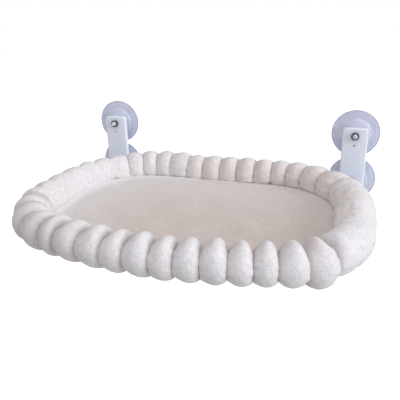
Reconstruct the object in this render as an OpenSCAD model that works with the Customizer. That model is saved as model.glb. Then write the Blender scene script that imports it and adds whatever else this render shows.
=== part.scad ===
// Window mounted cat perch: four suction cups hold two pressed brackets on the glass,
// and a tube frame with a bolster bed folds up on one hinge line in front of them.
// The origin lies on the glass, in the middle of the four cups. +Y points at the window, +Z up.

/* [Suction cups] */
// Diameter of a suction cup at its lip
cup_d = 84; // [76:1:90]
// Gap between the lips of the two cups of one bracket
cup_gap = 1; // [0.5:0.5:8]
// Width of the flat sealing band at the lip
cup_lip_w = 3; // [2:0.5:5]
// Depth of the hollow that the vacuum holds in
cup_hollow = 3.2; // [2:0.2:4]
// Diameter of the boss round the stud
cup_boss_d = 22; // [20:1:26]
// Thickness of the skirt at the lip
cup_skirt_t = 1; // [0.6:0.1:2]

/* [Brackets] */
// Distance from the side of the bed in to the middle of a bracket
bracket_inset = 40.75; // [38:0.25:44]
// Width of a bracket
bracket_w = 43.4; // [40:0.2:50]
// Distance from the glass to the front face of a bracket
bracket_reach = 20.7; // [20:0.1:24]
// Thickness of the pressed steel of a bracket
bracket_t = 2; // [1.5:0.1:3]
// Depth of the rim folded back towards the glass
bracket_rim = 8.3; // [6:0.1:8.3]
// Rounding of the bracket's corners
bracket_corner_r = 6; // [4:0.5:8]
// Height of the bracket above its upper stud
bracket_above = 13.5; // [13.5:0.5:24]
// Height of the bracket below its lower stud
bracket_below = 33; // [32:0.5:40]
// Diameter of the small hanging hole below the upper nut
hang_hole_d = 3.5; // [2:0.5:5]
// Distance of the hanging hole below the upper stud
hang_hole_drop = 17.5; // [13:0.5:20]

/* [Hinge] */
// Gap in plan between the corner of the bolster and the head of a hinge pin
hinge_gap = 5.5; // [3:0.1:8]
// Height of the hinge axis below the middle of the cups
hinge_drop = 46; // [45:0.5:48]
// Diameter of a hinge pin
pin_d = 8; // [6:0.5:9]
// Running clearance of the pin in the bushes, on the radius
pin_play = 0.06; // [0.02:0.01:0.1]
// Width of the arm's knuckle between the bracket's ears
knuckle_w = 17; // [14:0.5:18]
// Outer diameter of the knuckle
knuckle_d = 18; // [17:0.5:19]
// Thickness of one ear of the bracket
ear_t = 2.5; // [2:0.1:3]
// Outer radius of an ear round the pin
ear_r = 9.5; // [9:0.1:10]
// Distance of the stop bumper below the lower stud
bumper_drop = 21.5; // [19:0.5:23]
// Diameter of a stop bumper
bumper_d = 13; // [10:0.5:14]
// Thickness of a stop bumper
bumper_t = 9; // [7:0.5:10]
// Gap that a resting arm keeps from its bumper
bumper_gap = 0.2; // [0.1:0.1:0.5]

/* [Frame] */
// Outer diameter of the frame tubes
tube_d = 16; // [14:0.5:17]
// Wall of the frame tubes
tube_wall = 1.2; // [1:0.1:2]
// Clearance of a tube in its sockets, on the radius
tube_play = 0.05; // [0.03:0.01:0.1]
// Gap between the bolster and the sockets of the hinge arms below it
frame_gap = 1.45; // [1:0.05:3]
// Radius of the two front bends of the frame
bend_r = 100; // [80:1:115]
// Distance from the front of the bed to the front tube
front_tube_inset = 92.5; // [85:0.5:105]
// Board left behind the nuts over the rear tube
board_margin = 1.6; // [1:0.1:6]
// Wall of the sockets on the hinge arms
socket_wall = 3; // [2.5:0.1:3.2]
// Depth of a tube in its socket
socket_depth = 34; // [28:1:38]
// Length of the sleeve that joins the two frame tubes at the front
sleeve_l = 60; // [40:2:80]
// Wall of the front sleeve
sleeve_wall = 1.6; // [1.2:0.1:2.5]

/* [Bed] */
// Overall width of the bed over its bolster
bed_w = 547; // [540:1:556]
// Overall depth of the bed over its bolster
bed_depth = 403; // [396:1:412]
// Gap between the glass and the back of the bed
bed_gap = 24.3; // [23:0.1:25]
// Rounding of the back corners, on the bolster's middle line
back_r = 147; // [142:1:152]
// Rounding of the front corners, on the bolster's middle line
front_r = 108; // [96:1:116]
// Rounding of the nose in the middle of the front, on the bolster's middle line
nose_r = 527; // [400:1:560]
// Distance that the front corners lie behind the nose, before rounding
nose_rise = 60.2; // [50:0.2:66]
// Thickness of the base board
board_t = 5; // [4:0.5:6]
// Thickness of the cloth under the board
panel_t = 1.2; // [0.8:0.1:1.6]
// Thickness of the bed pad at its rim
pad_t = 9.4; // [8:0.2:11]
// Height that the pad's crown rises over its rim
pad_crown = 4; // [2:0.5:5]

/* [Bolster] */
// Diameter of the bolster over its lobes
bolster_d = 58.4; // [56:0.2:60]
// Height of the bolster's middle below the middle of the cups
bolster_drop = 31.3; // [31:0.1:32]
// Number of stuffed lobes round the bolster
lobe_count = 44; // [36:1:46]
// Radius of the sewn channels between lobes, as a share of the bolster's radius
channel_share = 0.78; // [0.7:0.01:0.9]

/* [Fasteners] */
// Diameter of the cup studs
stud_d = 8; // [6:0.5:8]
// Width of a cup nut across its flats
nut_w = 13; // [12:0.5:14]
// Thickness of a cup nut
nut_t = 6.5; // [5:0.1:7]
// Length of stud that stands out of a nut
stud_end = 2.5; // [1:0.5:4]
// Diameter of the screws of the saddles and sockets
screw_d = 5; // [4:0.5:5]
// Thickness of a washer
washer_t = 1.6; // [1:0.1:2]

/* [Hidden] */
$fn = 48;

left = -1;
right = 1;
// One overrun serves all cuts
cut = 1;
// Clearance of a fastener in its hole, on the radius
hole_play = 0.05;
// Clearance round the soft pieces
soft_gap = 0.4;

// Bed, from the bolster's middle line outwards
bolster_r = bolster_d / 2;
bolster_z = -bolster_drop;
half_w = bed_w / 2 - bolster_r;
bed_back_y = -bed_gap;
bed_front_y = bed_back_y - bed_depth;
back_y = bed_back_y - bolster_r;
front_slope = atan(nose_rise / half_w);
front_turn = 90 - front_slope;
// The nose and the front corners are rounded no further than their straight neighbours allow
nose_room = half_w / cos(front_slope) - front_r * tan(front_turn / 2);
nose_round_r = min(nose_r, nose_room / tan(front_slope));
nose_y = bed_front_y + bolster_r - nose_round_r * (1 / cos(front_slope) - 1);
corner_y = nose_y + nose_rise;
side_room = back_y - back_r - corner_y;
front_round_r = min(front_r, side_room / tan(front_turn / 2));

// The bolster's middle line: lengths of its stretches on the right half, from the back's middle
back_l = half_w - back_r;
back_arc_l = PI / 2 * back_r;
front_tangent = front_round_r * tan(front_turn / 2);
side_l = side_room - front_tangent;
front_arc_l = PI / 180 * front_turn * front_round_r;
nose_tangent = nose_round_r * tan(front_slope);
slant_l = half_w / cos(front_slope) - front_tangent - nose_tangent;
nose_arc_l = PI / 180 * front_slope * nose_round_r;
half_l = back_l + back_arc_l + side_l + front_arc_l + slant_l + nose_arc_l;

// Ends of the stretches, added up
s1 = back_l;
s2 = s1 + back_arc_l;
s3 = s2 + side_l;
s4 = s3 + front_arc_l;
s5 = s4 + slant_l;

// Degrees that an arc of a given radius turns over a length
function turned(l, r) = 180 / PI * l / r;

// A point of an arc that starts with a heading, as [x, y, heading], turning to the right
function arc_at(from, heading, r, l) =
    let (a = turned(l, r))
    [from.x + r * (sin(heading) - sin(heading - a)),
     from.y + r * (cos(heading - a) - cos(heading)),
     heading - a];

// A point of a straight stretch, as [x, y, heading]
function run_at(from, heading, l) =
    [from.x + l * cos(heading), from.y + l * sin(heading), heading];

corner_a = run_at([0, back_y], 0, back_l);
corner_b = arc_at(corner_a, 0, back_r, back_arc_l);
corner_c = run_at(corner_b, -90, side_l);
corner_d = arc_at(corner_c, -90, front_round_r, front_arc_l);
corner_e = run_at(corner_d, -90 - front_turn, slant_l);

// Middle line of the right half at a length from the back's middle
function right_half_at(s) =
    s < s1 ? run_at([0, back_y], 0, s) :
    s < s2 ? arc_at(corner_a, 0, back_r, s - s1) :
    s < s3 ? run_at(corner_b, -90, s - s2) :
    s < s4 ? arc_at(corner_c, -90, front_round_r, s - s3) :
    s < s5 ? run_at(corner_d, -90 - front_turn, s - s4) :
    arc_at(corner_e, -90 - front_turn, nose_round_r, s - s5);

// Middle line all round, at a share of its length
function ring_at(share) =
    let (s = share * 2 * half_l, p = right_half_at(min(s, 2 * half_l - s)))
    s <= half_l ? p : [-p.x, p.y, -p.z];

// The same, moved towards the inside of the bed
function inset_at(share, inset) =
    let (p = ring_at(share))
    [p.x + inset * sin(p.z), p.y - inset * cos(p.z)];

// Closed plan outline, inset from the middle line
outline_points = 88;
function outline(inset) = [for (i = [0 : outline_points - 1]) inset_at(i / outline_points, inset)];

// The bolster's lobes are nine-sided
lobe_sides = 9;
lobe_half_side = 180 / lobe_sides;
function lobe_point(k) = bolster_r * [cos(90 + 2 * lobe_half_side * k), sin(90 + 2 * lobe_half_side * k)];
// How far a lobe reaches sideways at a depth below its middle
function lobe_reach(depth) =
    let (k = depth > -lobe_point(3).y ? 3 : 2, p = lobe_point(k), q = lobe_point(k + 1))
    -p.x - (q.x - p.x) * (-depth - p.y) / (q.y - p.y);

// Pad, board and cloth, which meet the lower inner side of the bolster
pad_sink_share = 0.7;
pad_bottom_z = bolster_z - bolster_r * pad_sink_share;
pad_rim_z = pad_bottom_z + pad_t;
board_gap = 0.3;
board_top_z = pad_bottom_z - board_gap;
board_bottom_z = board_top_z - board_t;
panel_bottom_z = board_bottom_z - panel_t;
board_inset = lobe_reach(bolster_z - board_top_z) + soft_gap;
panel_inset = lobe_reach(bolster_z - board_bottom_z) + soft_gap;
pad_inset = lobe_reach(bolster_z - pad_rim_z) + soft_gap;

// Cups and studs
bracket_x = bed_w / 2 - bracket_inset;
cup_r = cup_d / 2;
cup_spacing = cup_d + cup_gap;
upper_z = cup_spacing / 2;
lower_z = -cup_spacing / 2;
stud_r = stud_d / 2;
stud_head_r = 7;
stud_head_t = 3;
stud_head_depth = 7;
washer_r = 8.5;
// The front and back faces of a bracket
face_y = -bracket_reach;
plate_y = face_y + bracket_t;
boss_y = plate_y + washer_t;
// Places along the skirt of a cup, as shares of its radius and of the boss's height
skirt_shares = [[0.95, 0.08], [0.64, 0.24], [0.6, 0.36], [0.54, 0.46], [0.34, 0.62]];
boss_foot_share = 0.7;
stud_head_y = -stud_head_depth;
// The top and the folded rim of a bracket keep off the boss and the skirt
rim_cup_gap = 0.4;
bracket_top_z = upper_z + max(bracket_above, cup_boss_d / 2 + bracket_t + rim_cup_gap);
rim_l = min(bracket_rim, bracket_reach + boss_foot_share * boss_y - rim_cup_gap);

// Hinge pins, ears and bushes
hinge_z = -hinge_drop;
pin_r = pin_d / 2;
knuckle_r = knuckle_d / 2;
bush_wall = 1.8;
bush_r = pin_r + pin_play + bush_wall;
bush_flange_t = 0.8;
bush_flange_r = 8;
bush_joint_gap = 0.5;
ear_side_gap = 0.2;
ear_x = knuckle_w / 2 + bush_flange_t + ear_side_gap;
ear_out = ear_x + ear_t;
ear_back_drop = 10;
ear_foot = 2;
pin_head_r = 6;
pin_head_t = 3;
pin_nut_w = 13;
pin_nut_t = 5;
pin_end = 1.5;
// The hinge line keeps clear of the bolster's back corner, at the inner ends of the pins
pin_in_x = bracket_x - ear_out - pin_head_t;
corner_out_r = back_r + lobe_reach(bolster_z - hinge_z);
corner_out_y = back_y - back_r + sqrt(pow(corner_out_r, 2) - pow(pin_in_x - back_l, 2));
hinge_y = corner_out_y + hinge_gap + pin_head_r;

// Bumpers and heels
bumper_z = lower_z - bumper_drop;
bumper_y = face_y - bumper_t;
bumper_peg_end = 1.6;
heel_y = bumper_y - bumper_gap;
heel_h = 12;
// Distance that the leg's faces lie inside the knuckle's edge
leg_inset = 1.5;

// Screws of the saddles and sockets
screw_r = screw_d / 2;
screw_head_share = 0.9;
screw_head_r = screw_d * screw_head_share;
screw_head_t = screw_d / 2;

// Saddles that hold the board on the two cross tubes
tube_r = tube_d / 2;
saddle_l = 30;
saddle_split = 0.8;
cap_floor = 3;
lug_t = 5;
belly_r = tube_r + cap_floor;
lug_depth = saddle_split / 2 + lug_t;
belly_half_w = sqrt(pow(belly_r, 2) - pow(lug_depth, 2));
saddle_head_gap = 0.4;
saddle_pitch = 2 * (belly_half_w + screw_head_r + saddle_head_gap);
saddle_w = saddle_pitch + 2 * screw_d;
tee_flange_r = 8;
tee_flange_t = 1.2;
tee_barrel_r = 3.4;
tee_barrel_l = board_t - tee_flange_t;

// Frame
socket_r = tube_r + tube_play + socket_wall;
// The cross socket is a little slimmer, so that it meets the side socket cleanly
cross_socket_step = 0.5;
cross_socket_r = socket_r - cross_socket_step;
cross_socket_floor = 2.2;
socket_lead = 2;
socket_back_y = hinge_y + socket_lead;
socket_floor = 8;
side_screw_in = 10;
cross_screw_in = 9;
frame_z = bolster_z - bolster_r - frame_gap - socket_r;
sleeve_r = tube_r + tube_play + sleeve_wall;
tube_joint_gap = 0.5;
front_tube_y = bed_front_y + front_tube_inset;
rear_tube_y = back_y - board_inset - board_margin - tee_flange_r - saddle_pitch / 2;
tube_start_y = socket_back_y - socket_floor;
socket_end_y = min(tube_start_y - socket_depth, rear_tube_y - socket_r);
cross_x = bracket_x - tube_r - tube_play - cross_socket_floor;
socket_in_x = cross_x - socket_depth + socket_floor;
side_screw_y = tube_start_y - side_screw_in;
cross_screw_x = socket_in_x + cross_screw_in;
// The front saddles keep off the bends of the frame, the rear ones stand by the back corners
saddle_bend_gap = 22.75;
front_saddle_x = bracket_x - bend_r - saddle_l / 2 - saddle_bend_gap;
rear_saddle_out = 12.7;
rear_saddle_x = back_l + rear_saddle_out;
saddle_places = [
    [-front_saddle_x, front_tube_y], [front_saddle_x, front_tube_y],
    [-rear_saddle_x, rear_tube_y], [rear_saddle_x, rear_tube_y]];

// Colours
cup_colour = "#BDBDD6";
bracket_colour = "#D6DDEA";
steel_colour = "#B9BCC2";
rubber_colour = "#3B3C40";
bush_colour = "#F4F2EA";
arm_colour = "#E4E6EA";
tube_colour = "#E9EAEC";
board_colour = "#C9A877";
cloth_colour = "#D9D6D2";
plush_colour = "#F0EEEE";
pad_colour = "#DCD5D0";

// A disc or rod along Y, from one Y to another, at a place in X and Z
module rod_y(r, from_y, to_y, x, z) {
    translate([x, from_y, z])
        rotate([90, 0, 0])
            cylinder(r = r, h = from_y - to_y);
}

// A disc or rod along X, from one X to another
module rod_x(r, from_x, to_x, y, z) {
    translate([from_x, y, z])
        rotate([0, 90, 0])
            cylinder(r = r, h = to_x - from_x);
}

// A disc or rod along Z, upwards
module rod_z(r, from_z, to_z, x, y) {
    translate([x, y, from_z])
        cylinder(r = r, h = to_z - from_z);
}

// Six-sided nut with its bore, its back at the origin and growing along +Z
module hex_nut(width, thickness, bore_r) {
    difference() {
        cylinder(r = width / 2 / cos(30), h = thickness, $fn = 6);
        translate([0, 0, -cut])
            cylinder(r = bore_r, h = thickness + 2 * cut);
    }
}

// Solid whose outline lies in Y and Z, from one X to another
module along_x(from_x, to_x) {
    translate([from_x, 0, 0])
        rotate([90, 0, 90])
            linear_extrude(to_x - from_x)
                children();
}

// Solid whose outline lies in X and Z, from one Y towards the front to another
module along_y(from_y, to_y) {
    translate([0, from_y, 0])
        rotate([90, 0, 0])
            linear_extrude(from_y - to_y)
                children();
}

// Rectangle with round corners, centred on X
module round_plan(width, bottom, top, r) {
    translate([-width / 2 + r, bottom])
        square([width - 2 * r, top - bottom]);
    translate([-width / 2, bottom + r])
        square([width, top - bottom - 2 * r]);
    for (x = [-width / 2 + r, width / 2 - r], z = [bottom + r, top - r])
        translate([x, z])
            circle(r);
}

// Pressed bracket with its rim folded back and two ears in front for the hinge pin
module bracket(side) {
    top = bracket_top_z;
    bottom = lower_z - bracket_below;
    color(bracket_colour)
        translate([side * bracket_x, 0, 0])
            difference() {
                union() {
                    difference() {
                        along_y(face_y + rim_l, face_y)
                            round_plan(bracket_w, bottom, top, bracket_corner_r);
                        along_y(face_y + rim_l + cut, plate_y)
                            round_plan(bracket_w - 2 * bracket_t, bottom + bracket_t, top - bracket_t,
                                bracket_corner_r - bracket_t);
                    }
                    for (x = [-ear_x - ear_t, ear_x])
                        along_x(x, x + ear_t)
                            ear_outline(bottom + ear_foot);
                }
                for (z = [upper_z, lower_z])
                    rod_y(stud_r + hole_play, plate_y + cut, face_y - cut, 0, z);
                rod_y(hang_hole_d / 2, plate_y + cut, face_y - cut, 0, upper_z - hang_hole_drop);
                rod_y(screw_r + hole_play, plate_y + cut, face_y - cut, 0, bumper_z);
                rod_x(pin_r + hole_play, -ear_out - cut, ear_out + cut, hinge_y, hinge_z);
            }
}

// Side view of an ear, from inside the bracket's plate to round the pin
module ear_outline(foot_z) {
    root_y = face_y + bracket_t / 2;
    polygon([[root_y, hinge_z + ear_r - ear_back_drop], [hinge_y, hinge_z + ear_r],
        [hinge_y, hinge_z - ear_r], [root_y, foot_z]]);
    translate([hinge_y, hinge_z])
        circle(ear_r);
}

module left_bracket() {
    bracket(left);
}

module right_bracket() {
    bracket(right);
}

// Suction cup: flat lip, thin skirt with one step, and a boss that holds the stud's head
module cup(side, z) {
    boss_l = -boss_y;
    boss_r = cup_boss_d / 2;
    color(cup_colour)
        difference() {
            translate([side * bracket_x, 0, z])
                rotate([90, 0, 0])
                    rotate_extrude()
                        polygon(concat(
                            [[0, cup_hollow], [cup_r / 2, cup_hollow / 2], [cup_r - cup_lip_w, 0],
                                [cup_r, 0], [cup_r, cup_skirt_t]],
                            [for (p = skirt_shares) [p[0] * cup_r, p[1] * boss_l]],
                            [[boss_r, boss_l * boss_foot_share], [boss_r, boss_l], [0, boss_l]]));
            rod_y(stud_r + hole_play, stud_head_y, boss_y - cut, side * bracket_x, z);
            rod_y(stud_head_r + hole_play, stud_head_y + hole_play, stud_head_y - stud_head_t - hole_play,
                side * bracket_x, z);
        }
}

module upper_left_cup() {
    cup(left, upper_z);
}

module lower_left_cup() {
    cup(left, lower_z);
}

module upper_right_cup() {
    cup(right, upper_z);
}

module lower_right_cup() {
    cup(right, lower_z);
}

// Stud with its head moulded into the cup
module stud(side, z) {
    color(steel_colour)
        union() {
            rod_y(stud_head_r, stud_head_y, stud_head_y - stud_head_t, side * bracket_x, z);
            rod_y(stud_r, stud_head_y, face_y - nut_t - stud_end, side * bracket_x, z);
        }
}

module upper_left_stud() {
    stud(left, upper_z);
}

module lower_left_stud() {
    stud(left, lower_z);
}

module upper_right_stud() {
    stud(right, upper_z);
}

module lower_right_stud() {
    stud(right, lower_z);
}

// Washers between the bosses of the cups and the backs of the brackets
module cup_washers() {
    color(steel_colour)
        for (side = [left, right], z = [upper_z, lower_z])
            difference() {
                rod_y(washer_r, boss_y, plate_y, side * bracket_x, z);
                rod_y(stud_r + hole_play, boss_y + cut, plate_y - cut, side * bracket_x, z);
            }
}

// Nuts on the fronts of the brackets
module cup_nuts() {
    color(steel_colour)
        for (side = [left, right], z = [upper_z, lower_z])
            translate([side * bracket_x, face_y, z])
                rotate([90, 0, 0])
                    hex_nut(nut_w, nut_t, stud_r + hole_play);
}

// Rubber stop that carries the heel of an arm, with a peg through the bracket
module stop_bumper(side) {
    color(rubber_colour)
        union() {
            rod_y(bumper_d / 2, face_y, bumper_y, side * bracket_x, bumper_z);
            rod_y(screw_r, plate_y + bumper_peg_end, face_y - bumper_peg_end, side * bracket_x, bumper_z);
        }
}

module left_stop_bumper() {
    stop_bumper(left);
}

module right_stop_bumper() {
    stop_bumper(right);
}

// Hinge pin with its head towards the middle of the perch, drawn for the right side
module right_hinge_pin() {
    color(steel_colour)
        union() {
            rod_x(pin_head_r, pin_in_x, bracket_x - ear_out, hinge_y, hinge_z);
            rod_x(pin_r, bracket_x - ear_out - pin_head_t / 2, bracket_x + ear_out + pin_nut_t + pin_end,
                hinge_y, hinge_z);
        }
}

module left_hinge_pin() {
    mirror([1, 0, 0])
        right_hinge_pin();
}

// Lock nuts on the outer ends of the hinge pins
module hinge_pin_nuts() {
    color(steel_colour)
        for (side = [0, 1])
            mirror([side, 0, 0])
                translate([bracket_x + ear_out, hinge_y, hinge_z])
                    rotate([0, 90, 0])
                        hex_nut(pin_nut_w, pin_nut_t, pin_r + hole_play);
}

// Hinge arm: knuckle on the pin, leg and heel, a socket for the frame tube and one for the cross tube
module right_hinge_arm() {
    half = knuckle_w / 2;
    color(arm_colour)
        difference() {
            union() {
                rod_x(knuckle_r, bracket_x - half, bracket_x + half, hinge_y, hinge_z);
                along_x(bracket_x - half, bracket_x + half)
                    arm_outline();
                rod_y(socket_r, socket_back_y, socket_end_y, bracket_x, frame_z);
                rod_x(cross_socket_r, socket_in_x, bracket_x - tube_r, rear_tube_y, frame_z);
            }
            rod_x(bush_r + hole_play, bracket_x - half - cut, bracket_x + half + cut, hinge_y, hinge_z);
            rod_y(tube_r + tube_play, tube_start_y, socket_end_y - cut, bracket_x, frame_z);
            rod_x(tube_r + tube_play, socket_in_x - cut, cross_x, rear_tube_y, frame_z);
            rod_z(screw_r + hole_play, frame_z - socket_r - cut, frame_z, bracket_x, side_screw_y);
            rod_z(screw_r + hole_play, frame_z - cross_socket_r - cut, frame_z, cross_screw_x, rear_tube_y);
        }
}

// Side view of the arm's leg with its heel
module arm_outline() {
    front = hinge_y - knuckle_r + leg_inset;
    back = hinge_y + knuckle_r - leg_inset;
    foot_z = min(frame_z, bumper_z - heel_h / 2) - leg_inset;
    polygon([[front, hinge_z], [back, hinge_z], [back, bumper_z + heel_h],
        [back + heel_h / 2, bumper_z + heel_h / 2], [heel_y, bumper_z + heel_h / 2],
        [heel_y, bumper_z - heel_h / 2], [back, bumper_z - heel_h / 2],
        [back, foot_z], [front, foot_z]]);
}

module left_hinge_arm() {
    mirror([1, 0, 0])
        right_hinge_arm();
}

// Two flanged bushes in the knuckle of an arm
module right_hinge_bushes() {
    half = knuckle_w / 2;
    color(bush_colour)
        for (side = [0, 1])
            translate([bracket_x, 0, 0])
                mirror([side, 0, 0])
                    difference() {
                        union() {
                            rod_x(bush_r, bush_joint_gap / 2, half, hinge_y, hinge_z);
                            rod_x(bush_flange_r, half, half + bush_flange_t, hinge_y, hinge_z);
                        }
                        rod_x(pin_r + pin_play, -cut, half + bush_flange_t + cut, hinge_y, hinge_z);
                    }
}

module left_hinge_bushes() {
    mirror([1, 0, 0])
        right_hinge_bushes();
}

// Section of a frame tube
module tube_section() {
    difference() {
        circle(tube_r);
        circle(tube_r - tube_wall);
    }
}

// Frame tube along the side, round the front corner and to the middle of the front
module right_frame_tube() {
    color(tube_colour)
        difference() {
            union() {
                translate([bracket_x, front_tube_y + bend_r, frame_z])
                    rotate([-90, 0, 0])
                        linear_extrude(tube_start_y - front_tube_y - bend_r)
                            tube_section();
                translate([bracket_x - bend_r, front_tube_y + bend_r, frame_z])
                    rotate([0, 0, -90])
                        rotate_extrude(angle = 90)
                            translate([bend_r, 0])
                                tube_section();
                translate([bracket_x - bend_r, front_tube_y, frame_z])
                    rotate([0, -90, 0])
                        linear_extrude(bracket_x - bend_r - tube_joint_gap / 2)
                            tube_section();
            }
            rod_z(screw_r + hole_play, frame_z - tube_r - cut, frame_z, bracket_x, side_screw_y);
            rod_z(screw_r + hole_play, frame_z - tube_r - cut, frame_z, sleeve_l / 4, front_tube_y);
        }
}

module left_frame_tube() {
    mirror([1, 0, 0])
        right_frame_tube();
}

// Sleeve over the two ends of the frame tubes
module front_joint_sleeve() {
    color(arm_colour)
        difference() {
            rod_x(sleeve_r, -sleeve_l / 2, sleeve_l / 2, front_tube_y, frame_z);
            rod_x(tube_r + tube_play, -sleeve_l / 2 - cut, sleeve_l / 2 + cut, front_tube_y, frame_z);
            for (x = [-sleeve_l / 4, sleeve_l / 4])
                rod_z(screw_r + hole_play, frame_z - sleeve_r - cut, frame_z, x, front_tube_y);
        }
}

// Straight tube between the two hinge arms
module rear_cross_tube() {
    end_x = cross_x - tube_joint_gap / 2;
    color(tube_colour)
        difference() {
            rod_x(tube_r, -end_x, end_x, rear_tube_y, frame_z);
            rod_x(tube_r - tube_wall, -end_x - cut, end_x + cut, rear_tube_y, frame_z);
            for (x = [-cross_screw_x, cross_screw_x])
                rod_z(screw_r + hole_play, frame_z - tube_r - cut, frame_z, x, rear_tube_y);
        }
}

// Round-headed screw pointing up, with its head below the given height
module screw_up(x, y, seat_z, tip_z) {
    rod_z(screw_head_r, seat_z - screw_head_t, seat_z, x, y);
    rod_z(screw_r, seat_z - screw_head_t / 2, tip_z, x, y);
}

// Screws that hold the tubes in their sockets and in the sleeve
module frame_screws() {
    tip_z = frame_z - tube_r + 2 * tube_wall;
    color(steel_colour)
        union() {
            for (side = [left, right]) {
                screw_up(side * bracket_x, side_screw_y, frame_z - socket_r, tip_z);
                screw_up(side * cross_screw_x, rear_tube_y, frame_z - cross_socket_r, tip_z);
                screw_up(side * sleeve_l / 4, front_tube_y, frame_z - sleeve_r, tip_z);
            }
        }
}

// Places of the saddle screws
module at_saddle_screws() {
    for (p = saddle_places, dy = [-saddle_pitch / 2, saddle_pitch / 2])
        translate([p.x, p.y + dy, 0])
            children();
}

// Blocks between the board and the cross tubes
module saddle_blocks() {
    color(arm_colour)
        difference() {
            for (p = saddle_places)
                translate([p.x - saddle_l / 2, p.y - saddle_w / 2, frame_z + saddle_split / 2])
                    cube([saddle_l, saddle_w, panel_bottom_z - frame_z - saddle_split / 2]);
            for (p = saddle_places)
                rod_x(tube_r + tube_play, p.x - saddle_l / 2 - cut, p.x + saddle_l / 2 + cut, p.y, frame_z);
            at_saddle_screws()
                rod_z(screw_r + hole_play, frame_z - cut, panel_bottom_z + cut, 0, 0);
        }
}

// Caps that clamp the tubes up into the blocks
module saddle_caps() {
    color(arm_colour)
        difference() {
            for (p = saddle_places)
                translate([0, p.y, frame_z])
                    along_x(p.x - saddle_l / 2, p.x + saddle_l / 2)
                        cap_outline();
            for (p = saddle_places)
                rod_x(tube_r + tube_play, p.x - saddle_l / 2 - cut, p.x + saddle_l / 2 + cut, p.y, frame_z);
            at_saddle_screws()
                rod_z(screw_r + hole_play, frame_z - tube_d, frame_z, 0, 0);
        }
}

// Side view of a cap: two lugs and a round belly under the tube
module cap_outline() {
    translate([-saddle_w / 2, -lug_depth])
        square([saddle_w, lug_t]);
    intersection() {
        circle(belly_r);
        translate([-saddle_w / 2, -saddle_split / 2 - tube_d])
            square([saddle_w, tube_d]);
    }
}

module saddle_screws() {
    color(steel_colour)
        at_saddle_screws()
            screw_up(0, 0, frame_z - lug_depth, board_top_z - tee_flange_t / 2);
}

// Nuts pressed into the board from above, under the pad
module board_tee_nuts() {
    color(steel_colour)
        at_saddle_screws()
            difference() {
                union() {
                    rod_z(tee_barrel_r, board_top_z - tee_flange_t - tee_barrel_l, board_top_z, 0, 0);
                    rod_z(tee_flange_r, board_top_z - tee_flange_t, board_top_z, 0, 0);
                }
                rod_z(screw_r + hole_play, board_bottom_z - cut, board_top_z + cut, 0, 0);
            }
}

// Flat plate that follows the bed's plan
module bed_plate(bottom_z, top_z, inset) {
    translate([0, 0, bottom_z])
        linear_extrude(top_z - bottom_z)
            polygon(outline(inset));
}

// Base board under the pad
module base_board() {
    color(board_colour)
        difference() {
            bed_plate(board_bottom_z, board_top_z, board_inset);
            at_saddle_screws()
                rod_z(tee_barrel_r + hole_play, board_bottom_z - cut, board_top_z + cut, 0, 0);
            at_saddle_screws()
                rod_z(tee_flange_r + hole_play, board_top_z - tee_flange_t, board_top_z + cut, 0, 0);
        }
}

// Cloth under the board, which closes the cover from below
module bottom_panel() {
    color(cloth_colour)
        difference() {
            bed_plate(panel_bottom_z, board_bottom_z, panel_inset);
            at_saddle_screws()
                rod_z(screw_r + hole_play, panel_bottom_z - cut, board_bottom_z + cut, 0, 0);
        }
}

// Quads between rings of points, closed round each ring, for a ring count and points a ring
function skin(rings, count, closed) =
    [for (j = [0 : rings - (closed ? 1 : 2)], i = [0 : count - 1])
        let (a = j * count, b = (j + 1) % rings * count, n = (i + 1) % count)
        each [[a + i, a + n, b + n], [a + i, b + n, b + i]]];

// Crowned pad on the board. Rows of its rim are shares of its plan, of the length that the rim
// is drawn in and of its thickness, and rows of its crown are shares of its plan and its crown
pad_points = 66;
pad_drawn = 2.5;
pad_rim_shares = [[1, 1, 0], [1, 0, 0.45], [1, 0.5, 0.85], [0.97, 1, 1]];
pad_crown_shares = [[0.9, 0.3], [0.75, 0.62], [0.5, 0.9], [0.25, 1]];

module bed_pad() {
    middle = [0, (bed_back_y + bed_front_y) / 2];
    rows = [
        for (row = pad_rim_shares)
            [for (i = [0 : pad_points - 1])
                let (p = inset_at(i / pad_points, pad_inset + row[1] * pad_drawn))
                [middle.x + row[0] * (p.x - middle.x), middle.y + row[0] * (p.y - middle.y),
                    pad_bottom_z + row[2] * pad_t]],
        for (row = pad_crown_shares)
            [for (i = [0 : pad_points - 1])
                let (p = inset_at(i / pad_points, pad_inset + pad_drawn))
                [middle.x + row[0] * (p.x - middle.x), middle.y + row[0] * (p.y - middle.y),
                    pad_rim_z + row[1] * pad_crown]]];
    count = len(rows);
    points = concat([for (row = rows) each row],
        [[middle.x, middle.y, pad_bottom_z], [middle.x, middle.y, pad_rim_z + pad_crown]]);
    low = count * pad_points;
    top = (count - 1) * pad_points;
    color(pad_colour)
        polyhedron(points, concat(
            skin(count, pad_points, false),
            [for (i = [0 : pad_points - 1]) [low, (i + 1) % pad_points, i]],
            [for (i = [0 : pad_points - 1]) [low + 1, top + i, top + (i + 1) % pad_points]]));
}

// Bolster: a closed string of stuffed lobes, drawn in at the sewn channels
lobe_ring_shares = [[0, channel_share], [0.25, 1], [0.75, 1]];

module bolster() {
    rings = [
        for (lobe = [0 : lobe_count - 1], ring = lobe_ring_shares)
            let (p = ring_at((lobe + ring[0]) / lobe_count))
            [for (k = [0 : lobe_sides - 1])
                let (q = ring[1] * lobe_point(k))
                [p.x - q.x * sin(p.z), p.y + q.x * cos(p.z), bolster_z + q.y]]];
    color(plush_colour)
        polyhedron([for (ring = rings) each ring], skin(len(rings), lobe_sides, true));
}

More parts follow.
